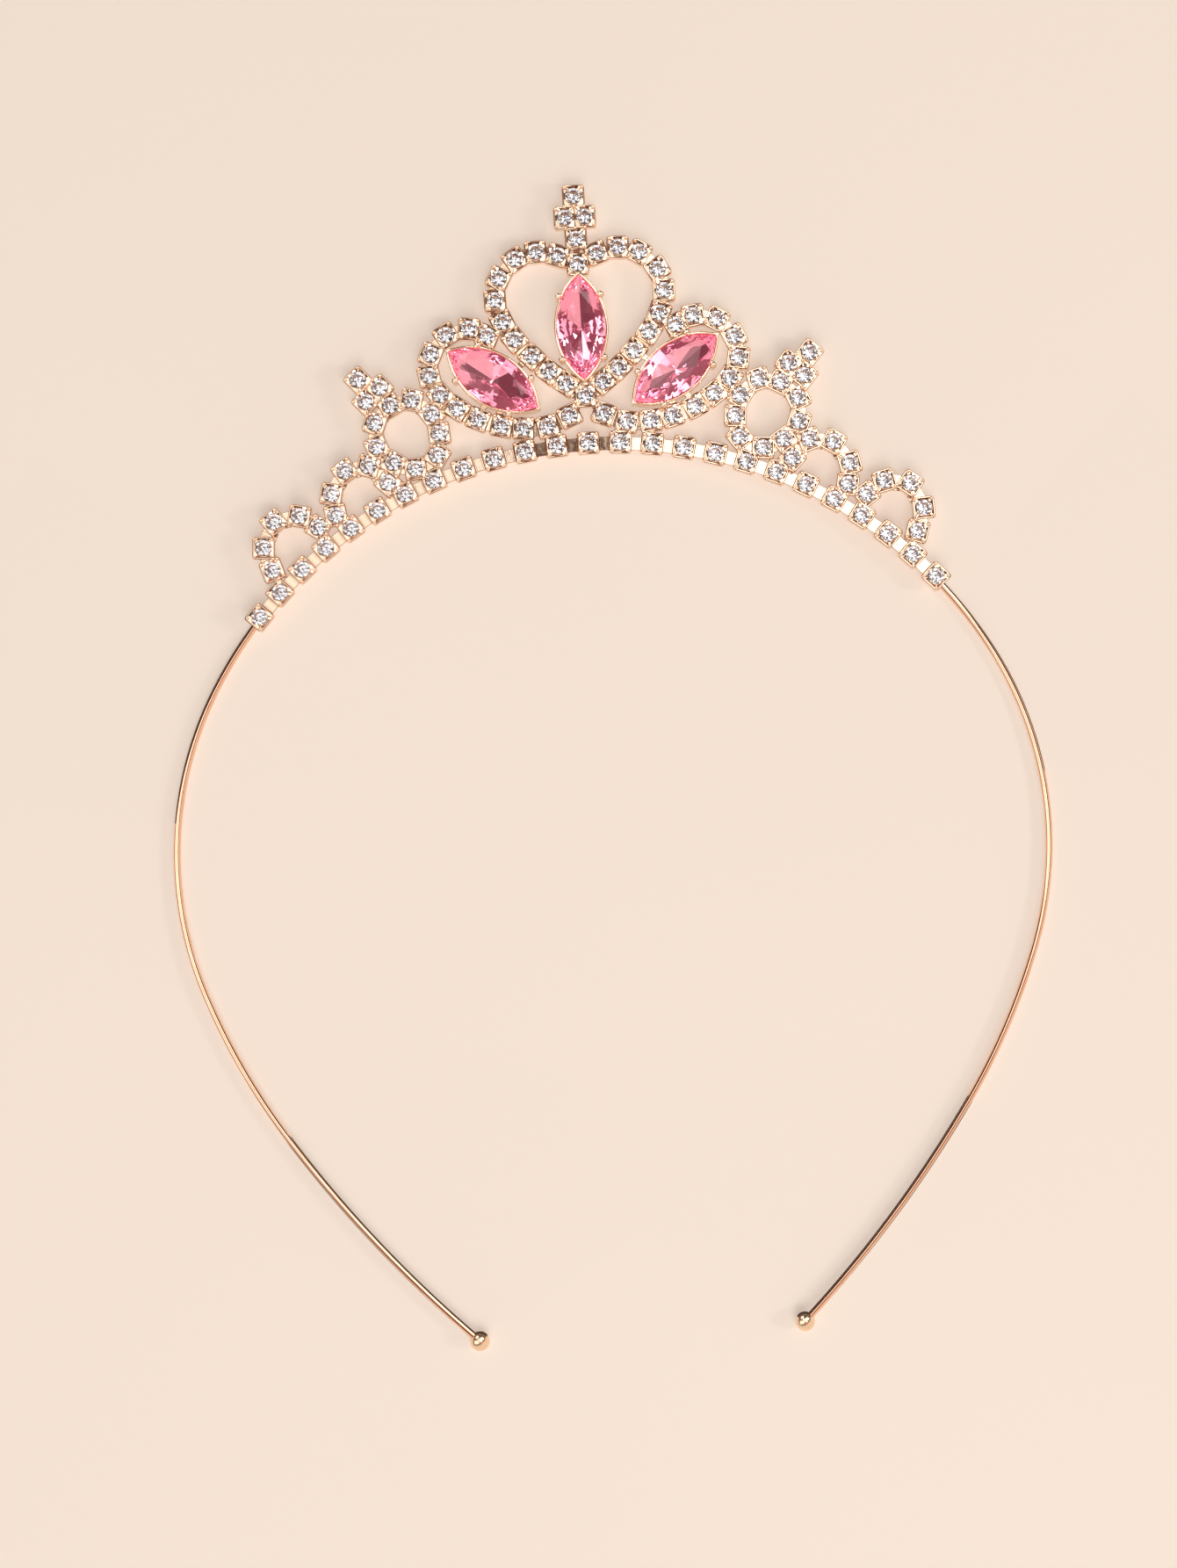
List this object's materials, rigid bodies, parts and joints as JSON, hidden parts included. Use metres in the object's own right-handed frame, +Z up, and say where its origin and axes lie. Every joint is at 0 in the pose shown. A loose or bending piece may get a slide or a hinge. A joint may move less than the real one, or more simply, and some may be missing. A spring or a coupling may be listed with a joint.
{
  "type": "mini crown headband",
  "caption": "Open wire hoop worn over the head, with a flat crown of square stone cups bent into a heart, petals and loops, small crosses, and boat-shaped pink stones.",
  "frame": {"origin": "on the surface that the part lies on, under the middle of its box", "axes": "+Z up, out of the stones' faces; +Y along the crown, towards the top cross; +X to the right, seen with the stones facing the viewer and the crown up"},
  "size_m": [0.1266, 0.1665, 0.0047],
  "materials": {
    "gold_metal": "polished rose gold plating",
    "clear_stone": "clear cut crystal, silver foil behind",
    "pink_stone": "pink cut crystal, silver foil behind"
  },
  "bodies": {
    "root": {"headband_wire": "gold_metal", "left_tip_ball": "gold_metal", "right_tip_ball": "gold_metal", "crown_frame": "gold_metal", "base_stones": "clear_stone", "heart_stones": "clear_stone", "top_cross_stones": "clear_stone", "left_petal_stones": "clear_stone", "right_petal_stones": "clear_stone", "left_loop_stones": "clear_stone", "right_loop_stones": "clear_stone", "left_small_loop_stones": "clear_stone", "right_small_loop_stones": "clear_stone", "center_marquise": "pink_stone", "left_marquise": "pink_stone", "right_marquise": "pink_stone"}
  },
  "joints": []
}
